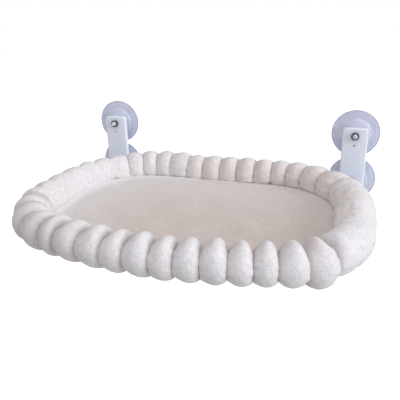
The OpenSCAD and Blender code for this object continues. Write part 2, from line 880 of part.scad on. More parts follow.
left_bracket();
right_bracket();
upper_left_cup();
lower_left_cup();
upper_right_cup();
lower_right_cup();
upper_left_stud();
lower_left_stud();
upper_right_stud();
lower_right_stud();
cup_washers();
cup_nuts();
left_stop_bumper();
right_stop_bumper();
left_hinge_pin();
right_hinge_pin();
hinge_pin_nuts();
left_hinge_arm();
right_hinge_arm();
left_hinge_bushes();
right_hinge_bushes();
left_frame_tube();
right_frame_tube();
front_joint_sleeve();
rear_cross_tube();
frame_screws();
saddle_blocks();
saddle_caps();
saddle_screws();
board_tee_nuts();
base_board();
bottom_panel();
bed_pad();
bolster();
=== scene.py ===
import math

import bmesh
import bpy
import numpy as np
from mathutils import Matrix, Vector, noise
from mathutils.bvhtree import BVHTree


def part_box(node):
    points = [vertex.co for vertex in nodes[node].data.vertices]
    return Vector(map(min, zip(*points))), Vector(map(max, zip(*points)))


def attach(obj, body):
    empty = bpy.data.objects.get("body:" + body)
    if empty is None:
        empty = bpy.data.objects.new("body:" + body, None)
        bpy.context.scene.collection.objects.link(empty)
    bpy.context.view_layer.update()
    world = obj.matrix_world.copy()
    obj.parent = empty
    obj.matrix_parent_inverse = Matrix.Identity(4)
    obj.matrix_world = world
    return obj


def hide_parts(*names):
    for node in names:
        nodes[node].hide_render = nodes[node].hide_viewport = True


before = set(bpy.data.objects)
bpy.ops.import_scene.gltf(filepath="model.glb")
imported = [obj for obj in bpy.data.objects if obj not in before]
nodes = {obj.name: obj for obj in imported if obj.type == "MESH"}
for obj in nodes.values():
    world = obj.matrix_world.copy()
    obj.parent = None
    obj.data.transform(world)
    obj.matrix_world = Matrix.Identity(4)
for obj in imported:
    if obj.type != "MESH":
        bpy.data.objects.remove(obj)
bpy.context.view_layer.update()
mm = 0.001

# The camera stands to the right of the perch and a little above it
camera = {
    "place": (236.5, -915.2, 269.3),  # mm
    "turn": 18.134,  # degrees to the left of straight at the window
    "tilt": 21.79,  # degrees down
    "roll": -1.381,
    "picture": 400, "focal": 498.76,  # width of the picture and focal length, pixels
    "sensor": 36, "nearest": 20,  # mm
}


def inScene(name, data):
    piece = bpy.data.objects.new(name, data)
    bpy.context.collection.objects.link(piece)
    return piece


def cameraAxes():
    # To the right, up and straight ahead
    turn, tilt, roll = (math.radians(camera[k]) for k in ("turn", "tilt", "roll"))
    ahead = Vector((-math.sin(turn) * math.cos(tilt), math.cos(turn) * math.cos(tilt), -math.sin(tilt)))
    right = Vector((math.cos(turn), math.sin(turn), 0))
    up = right.cross(ahead)
    return (math.cos(roll) * right + math.sin(roll) * up,
            -math.sin(roll) * right + math.cos(roll) * up, ahead)


def inPicture(points):
    # Columns and rows of the picture on which points in mm fall
    right, up, ahead = (np.array(axis) for axis in cameraAxes())
    offset = np.asarray(points, float) - camera["place"]
    away, middle = offset @ ahead, camera["picture"] / 2
    return np.stack([middle + camera["focal"] * (offset @ right) / away,
                     middle - camera["focal"] * (offset @ up) / away], -1)


def makeCamera():
    right, up, ahead = cameraAxes()
    data = bpy.data.cameras.new("photoCamera")
    data.sensor_width = camera["sensor"]
    data.lens = camera["focal"] * camera["sensor"] / camera["picture"]
    data.clip_start = camera["nearest"] * mm
    seen = inScene("photoCamera", data)
    rotation = Matrix((right, up, -ahead)).transposed().to_4x4()
    seen.matrix_world = Matrix.Translation(Vector(camera["place"]) * mm) @ rotation
    bpy.context.scene.camera = seen


makeCamera()
print("camera set")


# Nodes and colours of the materials

def linearColour(hexText):
    # sRGB hex to the linear values that Blender works in, by the sRGB curve
    parts = [int(hexText[i:i + 2], 16) / 255 for i in (1, 3, 5)]
    return [c / 12.92 if c <= 0.04045 else ((c + 0.055) / 1.055) ** 2.4 for c in parts] + [1]


def addNode(tree, kind, inputs=None, **settings):
    # Inputs go by name, or by number where names repeat: a Mix node's colours are 6 and 7, its result 2
    node = tree.nodes.new(kind)
    for name, value in settings.items():
        setattr(node, name, value)
    for name, value in (inputs or {}).items():
        if isinstance(value, bpy.types.NodeSocket):
            tree.links.new(value, node.inputs[name])
        else:
            node.inputs[name].default_value = value
    return node


def startMaterial(name, **values):
    # With values for the shader's sockets, and the place in metres that patterns are drawn by
    material = bpy.data.materials.new(name)
    material.use_nodes = True
    tree = material.node_tree
    for socket, value in values.items():
        tree.nodes["Principled BSDF"].inputs[socket.replace("_", " ")].default_value = value
    return material, tree, addNode(tree, "ShaderNodeTexCoord").outputs["Object"]


def surfaced(material, colour, bump, rough=None):
    # Gives the shader its colour, its relief and, where it varies, its roughness
    drivers = {"Base Color": colour, "Normal": bump.outputs["Normal"]}
    if rough:
        drivers["Roughness"] = rough.outputs["Result"]
    tree = material.node_tree
    for socket, driver in drivers.items():
        tree.links.new(driver, tree.nodes["Principled BSDF"].inputs[socket])
    return material


def perMm(size):
    # Texture scale whose features are that many mm across
    return 1000 / size


def mottled(tree, place, size, dark, light, detail=3.0, low=0.3, high=0.7):
    # Two shades in clouds that many mm across
    cloud = addNode(tree, "ShaderNodeTexNoise", {"Vector": place, "Scale": perMm(size), "Detail": detail})
    ramp = addNode(tree, "ShaderNodeValToRGB", {"Fac": cloud.outputs["Fac"]})
    for stop, at, shade in zip(ramp.color_ramp.elements, (low, high), (dark, light)):
        stop.position, stop.color = at, linearColour(shade)
    return ramp.outputs["Color"]


def powderCoatedSteel(name, dark, light):
    # Polyester powder baked on pressed steel: satin, with a fine orange peel
    material, tree, place = startMaterial(name, Roughness=0.38, IOR=1.5, Coat_Weight=0.15, Coat_Roughness=0.25)
    peel = addNode(tree, "ShaderNodeTexNoise", {"Vector": place, "Scale": perMm(1.4), "Detail": 2.0})
    bump = addNode(tree, "ShaderNodeBump", {"Height": peel.outputs["Fac"], "Strength": 0.12, "Distance": 0.2 * mm})
    return surfaced(material, mottled(tree, place, 30, dark, light), bump)


def clearPvc():
    # Plasticised PVC, clear with a violet cast: light goes in, softens and comes out again,
    # and the thick lip gathers a deeper blue
    material, tree, place = startMaterial(
        "clearPlasticisedPvc", Roughness=0.2, IOR=1.53, Transmission_Weight=0.3, Coat_Weight=0.2)
    swirl = addNode(tree, "ShaderNodeTexNoise", {"Vector": place, "Scale": perMm(9), "Detail": 2.0})
    bump = addNode(tree, "ShaderNodeBump", {"Height": swirl.outputs["Fac"], "Strength": 0.1, "Distance": 0.4 * mm})
    lip = addNode(tree, "ShaderNodeAttribute", attribute_name="lip", attribute_type="GEOMETRY")
    tinted = addNode(tree, "ShaderNodeMix", {
        "Factor": lip.outputs["Fac"], 6: mottled(tree, place, 22, "#D2D7EE", "#DFE3F6"),
        7: linearColour("#A4A7D6")}, data_type="RGBA")
    return surfaced(material, tinted.outputs[2], bump)


def zincPlatedSteel(name, dark, light):
    # Bright zinc plate on turned steel: greyish mirror broken up by fine tool lines
    material, tree, place = startMaterial(name, Metallic=1.0)
    lines = addNode(tree, "ShaderNodeTexNoise", {"Vector": place, "Scale": perMm(0.9), "Detail": 4.0})
    rough = addNode(tree, "ShaderNodeMapRange", {"Value": lines.outputs["Fac"], "To Min": 0.2, "To Max": 0.42})
    bump = addNode(tree, "ShaderNodeBump", {
        "Height": lines.outputs["Fac"], "Strength": 0.15, "Distance": 0.1 * mm})
    return surfaced(material, mottled(tree, place, 4, dark, light), bump, rough)


def mouldedRubber():
    # Nitrile rubber from a blasted mould: nearly black, dull, with a dusty bloom
    material, tree, place = startMaterial("mouldedRubber", IOR=1.52)
    grit = addNode(tree, "ShaderNodeTexNoise", {"Vector": place, "Scale": perMm(0.8), "Detail": 3.0})
    rough = addNode(tree, "ShaderNodeMapRange", {"Value": grit.outputs["Fac"], "To Min": 0.6, "To Max": 0.85})
    bump = addNode(tree, "ShaderNodeBump", {"Height": grit.outputs["Fac"], "Strength": 0.3, "Distance": 0.2 * mm})
    return surfaced(material, mottled(tree, place, 7, "#2A2B2E", "#3D3E42"), bump, rough)


def mouldedNylon(name, dark, light, roughness):
    # Injection moulded plastic from a spark-eroded mould: an even, very fine grain
    material, tree, place = startMaterial(name, Roughness=roughness, IOR=1.53)
    grain = addNode(tree, "ShaderNodeTexVoronoi", {"Vector": place, "Scale": perMm(0.7)})
    bump = addNode(tree, "ShaderNodeBump", {
        "Height": grain.outputs["Distance"], "Strength": 0.35, "Distance": 0.2 * mm})
    return surfaced(material, mottled(tree, place, 14, dark, light), bump)


def birchPly():
    # Sanded birch plywood: pale, with long faint grain along the width
    material, tree, place = startMaterial("birchPlywood", Roughness=0.62, IOR=1.5)
    drawn = addNode(tree, "ShaderNodeMapping", {"Vector": place, "Scale": (0.08, 1.0, 1.0)})
    grain = addNode(tree, "ShaderNodeTexNoise", {
        "Vector": drawn.outputs["Vector"], "Scale": perMm(5), "Detail": 6.0, "Distortion": 0.6})
    ramp = addNode(tree, "ShaderNodeValToRGB", {"Fac": grain.outputs["Fac"]})
    for stop, at, shade in zip(ramp.color_ramp.elements, (0.32, 0.66), ("#B08D5C", "#D9BE92")):
        stop.position, stop.color = at, linearColour(shade)
    bump = addNode(tree, "ShaderNodeBump", {"Height": grain.outputs["Fac"], "Strength": 0.2, "Distance": 0.2 * mm})
    return surfaced(material, ramp.outputs["Color"], bump)


def wovenPolyester():
    # Plain-woven polyester: threads 0.6 mm apart, drawn 3.2 mm apart so that the weave shows
    material, tree, place = startMaterial("wovenPolyester", Roughness=0.85, IOR=1.5, Sheen_Weight=0.2)
    threads = []
    for axis in ("X", "Y"):  # bands of this texture are a twentieth of a full turn (2 pi) apart
        wave = addNode(tree, "ShaderNodeTexWave", {"Vector": place, "Scale": perMm(3.2) * 2 * math.pi / 20},
                       wave_type="BANDS", bands_direction=axis, wave_profile="SIN")
        threads.append(wave.outputs["Fac"])
    weave = addNode(tree, "ShaderNodeMath", {0: threads[0], 1: threads[1]}, operation="MULTIPLY")
    bump = addNode(tree, "ShaderNodeBump", {
        "Height": weave.outputs["Value"], "Strength": 0.8, "Distance": 0.5 * mm})
    # The gaps between the threads are darker than the threads
    gaps = addNode(tree, "ShaderNodeValToRGB", {"Fac": weave.outputs["Value"]})
    for stop, at, shade in zip(gaps.color_ramp.elements, (0, 0.5), ("#D2D2D2", "#FFFFFF")):
        stop.position, stop.color = at, linearColour(shade)
    colour = addNode(tree, "ShaderNodeMix", {
        "Factor": 1.0, 6: mottled(tree, place, 6, "#D3D0CC", "#E4E2DE"), 7: gaps.outputs["Color"]},
        data_type="RGBA", blend_type="MULTIPLY")
    return surfaced(material, colour.outputs[2], bump)


def shortPlush(name, dark, light, paintedLightAndShade, pile, patch):
    # Brushed short-pile plush: dull, soft at grazing angles, with tufts that lie different ways
    material, tree, place = startMaterial(
        name, Roughness=0.92, IOR=1.45, Sheen_Weight=0.35, Sheen_Roughness=0.45, Specular_IOR_Level=0.2,
        Sheen_Tint=linearColour("#FFFDFB"),
        Subsurface_Weight=0.18, Subsurface_Radius=(1.0, 0.85, 0.75), Subsurface_Scale=2 * mm)
    tufts = addNode(tree, "ShaderNodeTexNoise", {
        "Vector": place, "Scale": perMm(pile), "Detail": 5.0, "Roughness": 0.65, "Distortion": 0.4})
    waves = addNode(tree, "ShaderNodeTexNoise", {"Vector": place, "Scale": perMm(pile * 7), "Detail": 2.0})
    fine = addNode(tree, "ShaderNodeBump", {"Height": tufts.outputs["Fac"], "Strength": 0.7, "Distance": 1.2 * mm})
    soft = addNode(tree, "ShaderNodeBump", {
        "Height": waves.outputs["Fac"], "Normal": fine.outputs["Normal"], "Strength": 0.35, "Distance": 4 * mm})
    # The tips of the tufts are pale and the gaps between them darker
    nap = mottled(tree, place, pile * 2, "#F2F1F1", "#FFFFFF", detail=2.0, low=0.34, high=0.6)
    colour = addNode(tree, "ShaderNodeMix", {
        "Factor": 1.0, 6: mottled(tree, place, patch, dark, light, detail=4.0), 7: nap},
        data_type="RGBA", blend_type="MULTIPLY")
    # Painted light and shade: another tint where the mesh asks for it (painted shade in creases and on sides
    # turned from the lamp, painted light on the pad), then a painted warm shade inside the bed
    for attribute, tint, blend in (("paintedLightAndShade", paintedLightAndShade, "MIX"), ("paintedWarmShade", "#FCF5F0", "MULTIPLY")):
        share = addNode(tree, "ShaderNodeAttribute", attribute_name=attribute, attribute_type="GEOMETRY")
        colour = addNode(tree, "ShaderNodeMix", {
            "Factor": share.outputs["Fac"], 6: colour.outputs[2], 7: linearColour(tint)},
            data_type="RGBA", blend_type=blend)
    return surfaced(material, colour.outputs[2], soft)


finishes = {
    "powder_coated_steel": powderCoatedSteel("powderCoatedSteel", "#E7EFFF", "#EEF5FF"),
    "clear_pvc": clearPvc(),
    "zinc_steel": zincPlatedSteel("zincPlatedSteel", "#AEB2BA", "#D5D8DE"),
    "stop_rubber": mouldedRubber(),
    "moulded_nylon": mouldedNylon("mouldedNylon", "#DADCE1", "#E6E8EC", 0.42),
    "bush_acetal": mouldedNylon("mouldedAcetal", "#EDEBE2", "#F5F3EB", 0.3),
    "coated_tube": powderCoatedSteel("powderCoatedTube", "#E0E2E6", "#ECEDF0"),
    "plywood": birchPly(),
    "cover_cloth": wovenPolyester(),
    # Two shades and the tint of the painted light and shade, then the width of the pile's tufts and of its patches
    # in mm
    # The pad's plush is the bolster's drawn darker and warmer: a painted shade
    "floor_plush": shortPlush("padPlushPaintedShade", "#D5CAC3", "#DDD3CD", "#E9E7EA", 1.6, 45),
    "bolster_plush": shortPlush("offWhitePlush", "#EBEAED", "#F6F5F8", "#D5CECE", 1.6, 8),
}
print("materials made:", len(finishes))


def dress(piece, slot, body, *replaced, finish=None):
    # Finish, body and the solids that a new piece stands for
    piece.data.materials.clear()
    piece.data.materials.append(finish or finishes[slot])
    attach(piece, body)
    if replaced:
        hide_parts(*replaced)
    return piece


def skinned(name, rings, endless=False):
    # Closed skin through rings of equal length, in mm: its two ends are filled, or it runs on into itself
    rows, count = len(rings), len(rings[0])
    faces = [(j * count + k, j * count + (k + 1) % count,
              (j + 1) % rows * count + (k + 1) % count, (j + 1) % rows * count + k)
             for j in range(rows if endless else rows - 1) for k in range(count)]
    if not endless:
        faces += [tuple(range(count)), tuple(range((rows - 1) * count, rows * count))]
    mesh = bpy.data.meshes.new(name)
    mesh.from_pydata((np.concatenate(rings) * mm).tolist(), [], faces)
    outward = bmesh.new()
    outward.from_mesh(mesh)
    bmesh.ops.recalc_face_normals(outward, faces=outward.faces)
    outward.to_mesh(mesh)
    outward.free()
    return inScene(name, mesh)


def applyModifiers(piece):
    seen = bpy.context.evaluated_depsgraph_get()
    baked = bpy.data.meshes.new_from_object(piece.evaluated_get(seen))
    piece.modifiers.clear()
    piece.data = baked


def subdivide(piece):
    finer = piece.modifiers.new("finer", "SUBSURF")
    finer.levels = finer.render_levels = 1
    applyModifiers(piece)


def joined(pieces):
    # All of them in the first
    with bpy.context.temp_override(active_object=pieces[0], selected_editable_objects=pieces):
        bpy.ops.object.join()
    return pieces[0]


def paint(piece, name, values):
    # One value for each point, which the finish reads by this name
    shade = piece.data.attributes.new(name, "FLOAT", "POINT")
    shade.data.foreach_set("value", values.astype(np.float32))


def smoothBy(piece, degrees):
    # Smooth but for the edges that are sharper than this
    piece.data.shade_smooth()
    piece.data.set_sharp_from_angle(angle=math.radians(degrees))


def partWay(value, start, end):
    # 0 at the start and before it, 1 at the end and past it
    return np.clip((value - start) / (end - start), 0, 1)


# Rigid pieces whose shape is right already: the same solids, with broken edges

eased = {
    "weld": 0.01, "flat": 1,  # points this close (mm) become one, and faces this near to one plane (degrees)
    "segments": 2, "sharp": 34, "smooth": 40,  # edges sharper than this are broken; both angles in degrees
    "pieces": [
        # node, name, edge in mm, slot, body
        ("left_hinge_arm", "leftArmCasting", 0.8, "moulded_nylon", "perch"),
        ("right_hinge_arm", "rightArmCasting", 0.8, "moulded_nylon", "perch"),
        ("saddle_blocks", "saddleBlocksEased", 0.7, "moulded_nylon", "perch"),
        ("saddle_caps", "saddleCapsEased", 0.7, "moulded_nylon", "perch"),
        ("front_joint_sleeve", "frontSleeveEased", 0.4, "moulded_nylon", "perch"),
        ("left_hinge_bushes", "leftBushesEased", 0.2, "bush_acetal", "perch"),
        ("right_hinge_bushes", "rightBushesEased", 0.2, "bush_acetal", "perch"),
        ("left_stop_bumper", "leftBumperEased", 1.2, "stop_rubber", "window_mount"),
        ("right_stop_bumper", "rightBumperEased", 1.2, "stop_rubber", "window_mount"),
    ],
}


def easedCopy(node, name, width):
    source = bmesh.new()
    source.from_mesh(nodes[node].data)
    bmesh.ops.remove_doubles(source, verts=source.verts, dist=eased["weld"] * mm)
    bmesh.ops.dissolve_limit(source, angle_limit=math.radians(eased["flat"]),
                             verts=source.verts, edges=source.edges)
    mesh = bpy.data.meshes.new(name)
    source.to_mesh(mesh)
    source.free()
    piece = inScene(name, mesh)
    edges = piece.modifiers.new("brokenEdges", "BEVEL")
    edges.width, edges.segments, edges.use_clamp_overlap = width * mm, eased["segments"], True
    edges.limit_method, edges.angle_limit = "ANGLE", math.radians(eased["sharp"])
    applyModifiers(piece)
    smoothBy(piece, eased["smooth"])
    return piece


for node, name, width, slot, body in eased["pieces"]:
    dress(easedCopy(node, name, width), slot, body, node)
print("eased pieces made")

# Turned and moulded pieces: profiles as (radius, distance from the glass) in mm

turning = {"onAxis": 0.02, "smooth": 38}  # radius of the ring that stands for a point, mm; degrees
cup = {
    "steps": 96,
    "across": (232.75, 42.5),  # from the middle of the four cups
    "skirt": [(0, 3.2), (12, 2.7), (24, 1.5), (34, 0.5), (38.8, 0.02), (41.6, 0.02), (41.95, 0.35), (42, 0.9),
              (41.6, 1.5), (40.9, 1.62), (40.2, 1.4), (38, 1.75), (35.2, 2.3), (34.5, 2.75), (33.9, 2.8),
              (33.2, 2.6), (30, 3.3), (27.6, 3.9), (26.7, 4.4), (26.0, 5.5), (25.2, 6.25), (24, 6.9), (21, 8.1),
              (16.5, 9.7), (13.2, 10.9), (11.6, 12.0), (11.05, 13.4), (11, 15.6), (10.7, 16.6), (9.9, 17.08),
              (5.2, 17.1), (4.35, 17.0), (4.15, 16.5), (4.15, 10.15), (7.15, 10.12), (7.15, 6.9), (0, 6.9)],
    "lip": (40.2, 41.8),  # radii between which the deeper tint of the lip comes in
}
stud = {
    "steps": 28, "pitch": 1.25, "depth": 0.55, "root": 17.6, "tip": 29.7,
    "rows": 6,  # rings in one turn of the thread
    "crest": 3.97, "runIn": 1.2,  # radius of the thread, and the length in which it deepens, mm
    "stretch": 1.35, "sink": 0.15,  # flatten the crests and roots of its zigzag
    "end": 3.0, "slope": 0.9,  # radius of the chamfered end, and how fast it grows
    "head": [(0, 7.05), (6.4, 7.05), (7, 7.6), (7, 9.4), (6.5, 9.98), (4.4, 9.98), (4, 10.4), (4, 17.6)],
}
nut = {
    "across": 13, "back": 20.7, "front": 27.2, "bore": 4.15, "steps": 72,
    "edge": 0.45, "chamfer": 30,  # broken edge of the bore in mm, and slope of the end faces' rim in degrees
    "face": 0.86, "rim": 0.97,  # of half the width: a ring on the flat end, and where its chamfer starts
    "turns": (0.12, 0.5, 0.03, 0.3),  # radians, as each was left: upper and lower left, upper and lower right
}


def turned(name, profile, steps, x, z, wave=None):
    # Rings round an axis that runs away from the glass; wave(ring, angles) gives other radii.
    # A profile that starts off the axis has a hole through it.
    angle = 2 * np.pi * np.arange(steps) / steps
    rings = []
    for k, (radius, depth) in enumerate(profile):
        r = wave(k, angle) if wave else np.full(steps, max(radius, turning["onAxis"]))
        rings.append(np.column_stack([x + r * np.cos(angle), np.full(steps, -depth), z + r * np.sin(angle)]))
    piece = skinned(name, rings, endless=profile[0][0] > 0)
    smoothBy(piece, turning["smooth"])
    return piece


def makeCup(name, x, z):
    piece = turned(name, cup["skirt"], cup["steps"], x, z)
    subdivide(piece)
    radius = np.array([math.hypot(v.co.x / mm - x, v.co.z / mm - z) for v in piece.data.vertices])
    paint(piece, "lip", np.interp(radius, cup["lip"], (0, 1)))
    piece.data.shade_smooth()
    return piece


def makeStud(name, x, z):
    # Flat head moulded into the cup, plain neck, then a rolled thread with a chamfered end
    rows = int((stud["tip"] - stud["root"]) / stud["pitch"] * stud["rows"])
    depths = np.linspace(stud["root"], stud["tip"], rows)
    profile = stud["head"] + [(stud["crest"], depth) for depth in depths] + [(0, stud["tip"])]
    plain = len(stud["head"])

    def wave(k, angle):
        radius, depth = profile[k]
        if k < plain or k == len(profile) - 1:
            return np.full(len(angle), max(radius, turning["onAxis"]))
        phase = (depth / stud["pitch"] - angle / (2 * np.pi)) % 1
        cut = np.clip(stud["stretch"] * np.abs(2 * phase - 1) - stud["sink"], 0, 1) * stud["depth"]
        cut *= min(1, (depth - stud["root"]) / stud["runIn"])
        return np.minimum(radius - cut, stud["end"] + (stud["tip"] - depth) * stud["slope"])

    return turned(name, profile, stud["steps"], x, z, wave)


def makeNut(name, x, z, turn):
    # Hexagon with both ends chamfered and the edges of its bore broken
    half, front, back, bore, edge = nut["across"] / 2, nut["front"], nut["back"], nut["bore"], nut["edge"]
    corner, rim, face = half / math.cos(math.pi / 6), half * nut["rim"], half * nut["face"]
    outer = [(face, back), (rim, back), (corner, back + edge), (corner, back + 2 * edge),
             (corner, front - 2 * edge), (corner, front - edge), (rim, front), (face, front)]
    profile = outer + [(bore + edge, front), (bore, front - edge), (bore, back + edge), (bore + edge, back)]

    def wave(k, angle):
        radius, depth = profile[k]
        if k >= len(outer):
            return np.full(len(angle), radius)
        flat = half / np.cos((angle - turn) % (math.pi / 3) - math.pi / 6)
        end = min(depth - back, front - depth)
        cone = rim + end / math.tan(math.radians(nut["chamfer"])) if 0 < k < len(outer) - 1 else radius
        return np.minimum(np.minimum(flat, cone), radius)

    return turned(name, profile, nut["steps"], x, z, wave)


cupSpots = [(level, side, sign * cup["across"][0], up * cup["across"][1])
            for side, sign in (("left", -1), ("right", 1)) for level, up in (("upper", 1), ("lower", -1))]
for level, side, x, z in cupSpots:
    spot, node = level + side.capitalize(), level + "_" + side
    dress(makeCup(spot + "SuctionCup", x, z), "clear_pvc", "window_mount", node + "_cup")
    dress(makeStud(spot + "ThreadedStud", x, z), "zinc_steel", "window_mount", node + "_stud")

# The nuts get darker zinc colours than the studs: a painted dark reflection
cupNuts = joined([makeNut("cupNut", x, z, turn) for (_, _, x, z), turn in zip(cupSpots, nut["turns"])])
cupNuts.name = "cupNutsChamfered"
dress(cupNuts, "zinc_steel", "window_mount", "cup_nuts",
      finish=zincPlatedSteel("zincNutPaintedDarkReflection", "#4A4D54", "#70737B"))
print("cups, studs and nuts made")

# Brackets: sheet steel with its edge folded back all round, holes punched through, ears welded on

pressed = {
    "width": 43.4, "bottom": -75.5, "sheet": 2, "corner": 6, "bend": 2.6,  # mm
    "edge": 0.3, "leastCorner": 0.8, "smooth": 35,  # of the fold's free edge and its inside, mm; degrees
    "face": 20.7, "back": 12.4,  # from the glass
    "holes": [(42.5, 4.05), (-42.5, 4.05), (25, 1.75), (-64, 2.55)],  # height, radius
    "punch": (-25, -15),  # from y to y
    "ears": (9.5, 12), "axis": (65.98, -46), "earRound": 9.5, "pinHole": 4.05,
    "earEdge": 0.4, "earSunk": 1,  # its broken edge, and how deep it goes into the face
    "earSlope": 10, "earFoot": 2,  # fall of its top towards the face, and its foot above the bottom
}


def roundedLoop(half, bottom, top, radius, steps=8):
    # Plan of a bracket as (across, height), with that many steps in each corner
    loop = []
    for cx, cz, start in ((half - radius, top - radius, 0), (radius - half, top - radius, 90),
                          (radius - half, bottom + radius, 180), (half - radius, bottom + radius, 270)):
        for k in range(steps + 1):
            a = math.radians(start + 90 * k / steps)
            loop.append((cx + radius * math.cos(a), cz + radius * math.sin(a)))
    return np.array(loop)


def cutWith(piece, cutters):
    for cutter in cutters:
        step = piece.modifiers.new("cut", "BOOLEAN")
        step.operation, step.solver, step.object = "DIFFERENCE", "EXACT", cutter
    applyModifiers(piece)
    for cutter in cutters:
        bpy.data.objects.remove(cutter)


def rod(radius, start, end, place, axis, steps=40):
    # Cutter along x (0) or y (1), at a place on the other two
    angle = 2 * np.pi * np.arange(steps) / steps
    ring = np.column_stack([place[0] + radius * np.cos(angle), place[1] + radius * np.sin(angle)])
    return skinned("rod", [np.insert(ring, axis, along, axis=1) for along in (start, end)])


def makeBracket(node, name, x):
    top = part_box(node)[1][2] / mm
    bend, sheet, face, back, edge = (pressed[k] for k in ("bend", "sheet", "face", "back", "edge"))

    def bent(radius, angles):
        return [(bend - radius * math.cos(a), face - bend + radius * math.sin(a)) for a in np.radians(angles)]

    # In section: distance in from the outline, and from the glass
    section = bent(bend, np.arange(90, -1, -15))
    section += [(0, back + edge), (edge, back), (sheet - edge, back), (sheet, back + edge)]
    section += bent(bend - sheet, np.arange(0, 91, 30))
    loops = []
    for inset, depth in section:
        plan = roundedLoop(pressed["width"] / 2 - inset, pressed["bottom"] + inset, top - inset,
                           max(pressed["corner"] - inset, pressed["leastCorner"]))
        loops.append(np.column_stack([x + plan[:, 0], np.full(len(plan), -depth), plan[:, 1]]))
    pieces = [skinned(name, loops)]
    cutWith(pieces[0], [rod(radius, *pressed["punch"], (x, z), 1) for z, radius in pressed["holes"]])

    # Ears, in side view: distance from the glass, and height
    (depth, height), radius, earEdge = pressed["axis"], pressed["earRound"], pressed["earEdge"]
    outline = [(face - pressed["earSunk"], height + radius - pressed["earSlope"])]
    outline += [(depth + radius * math.cos(a), height - radius * math.sin(a))
                for a in np.radians(np.arange(-90, 91, 10))]
    outline += [(face - pressed["earSunk"], pressed["bottom"] + pressed["earFoot"])]
    middle = np.mean(outline, 0)
    away = outline - middle
    length = np.linalg.norm(away, axis=1)[:, None]
    for side in (-1, 1):
        inner, outer = (side * k for k in pressed["ears"])
        loops = []
        for across, inset in ((inner, earEdge), (inner + side * earEdge, 0),
                              (outer - side * earEdge, 0), (outer, earEdge)):
            plan = middle + away * (1 - inset / length)
            loops.append(np.column_stack([np.full(len(plan), x + across), -plan[:, 0], plan[:, 1]]))
        ear = skinned(name + "Ear", loops)
        cutWith(ear, [rod(pressed["pinHole"], x + inner - side, x + outer + side, (-depth, height), 0)])
        pieces.append(ear)
    piece = joined(pieces)
    smoothBy(piece, pressed["smooth"])
    return piece


for side, sign in (("left", -1), ("right", 1)):
    dress(makeBracket(side + "_bracket", side + "PressedBracket", sign * cup["across"][0]),
          "powder_coated_steel", "window_mount", side + "_bracket")
print("brackets made")

# Solids that stay as they are, in their real finish
kept = {
    "coated_tube": ["left_frame_tube", "right_frame_tube", "rear_cross_tube"],
    "plywood": ["base_board"],
    "zinc_steel": ["board_tee_nuts", "cup_washers", "frame_screws", "saddle_screws", "hinge_pin_nuts",
                   "left_hinge_pin", "right_hinge_pin"],
}
for slot, names in kept.items():
    for name in names:
        nodes[name].data.materials.clear()
        nodes[name].data.materials.append(finishes[slot])

# Plan of the bed: the middle line of the bolster, all round

bed = {
    "width": 547, "depth": 403, "gap": 24.3,  # over the bolster, and from the glass
    "backRound": 147, "frontRound": 108, "noseRound": 527, "noseRise": 60.2,
    "bolster": 58.4, "height": -31.3,  # diameter, and height of its middle
    "padBottom": -51.7, "padTop": -38.4, "panelBottom": -58.2, "panelTop": -57.1,
}


def middleLine():
    # Points [x, y] every mm or so, from the middle of the back, clockwise seen from above, and back to the first
    r = bed["bolster"] / 2
    halfW = bed["width"] / 2 - r
    backY = -bed["gap"] - r
    slope = math.atan(bed["noseRise"] / halfW)
    turn = math.pi / 2 - slope
    noseY = -bed["gap"] - bed["depth"] + r - bed["noseRound"] * (1 / math.cos(slope) - 1)
    cornerY = noseY + bed["noseRise"]
    tangent = bed["frontRound"] * math.tan(turn / 2)
    stretches = [  # length, radius (0 is straight)
        (halfW - bed["backRound"], 0),
        (math.pi / 2 * bed["backRound"], bed["backRound"]),
        (backY - bed["backRound"] - cornerY - tangent, 0),
        (turn * bed["frontRound"], bed["frontRound"]),
        (halfW / math.cos(slope) - tangent - bed["noseRound"] * math.tan(slope), 0),
        (slope * bed["noseRound"], bed["noseRound"])]
    x, y, heading = 0.0, backY, 0.0
    points = [(x, y)]
    for length, radius in stretches:
        steps = max(1, round(length))
        for _ in range(steps):
            bent = length / steps / radius if radius else 0
            x += length / steps * math.cos(heading - bent / 2)
            y += length / steps * math.sin(heading - bent / 2)
            heading -= bent
            points.append((x, y))
    half = np.array(points)
    half[-1, 0] = 0
    mirrored = half[-2:0:-1] * [-1, 1]
    return np.vstack([half, mirrored, half[:1]])


closedLine = middleLine()
lineAt = np.concatenate([[0], np.cumsum(np.hypot(*np.diff(closedLine, axis=0).T))])
lineLength = lineAt[-1]


def onLine(s, step=2):
    # Place on the middle line and the direction out of the bed, at lengths in mm
    s = np.asarray(s, float) % lineLength
    here, after, before = (np.stack([np.interp(at % lineLength, lineAt, closedLine[:, k]) for k in (0, 1)], -1)
                           for at in (s, s + step, s - step))
    dx, dy = np.moveaxis(after - before, -1, 0)
    length = np.hypot(dx, dy)
    return here, np.stack([-dy / length, dx / length], -1)


# Bolster: lobes of uneven width, stuffed by hand, with a sharp crease between each two

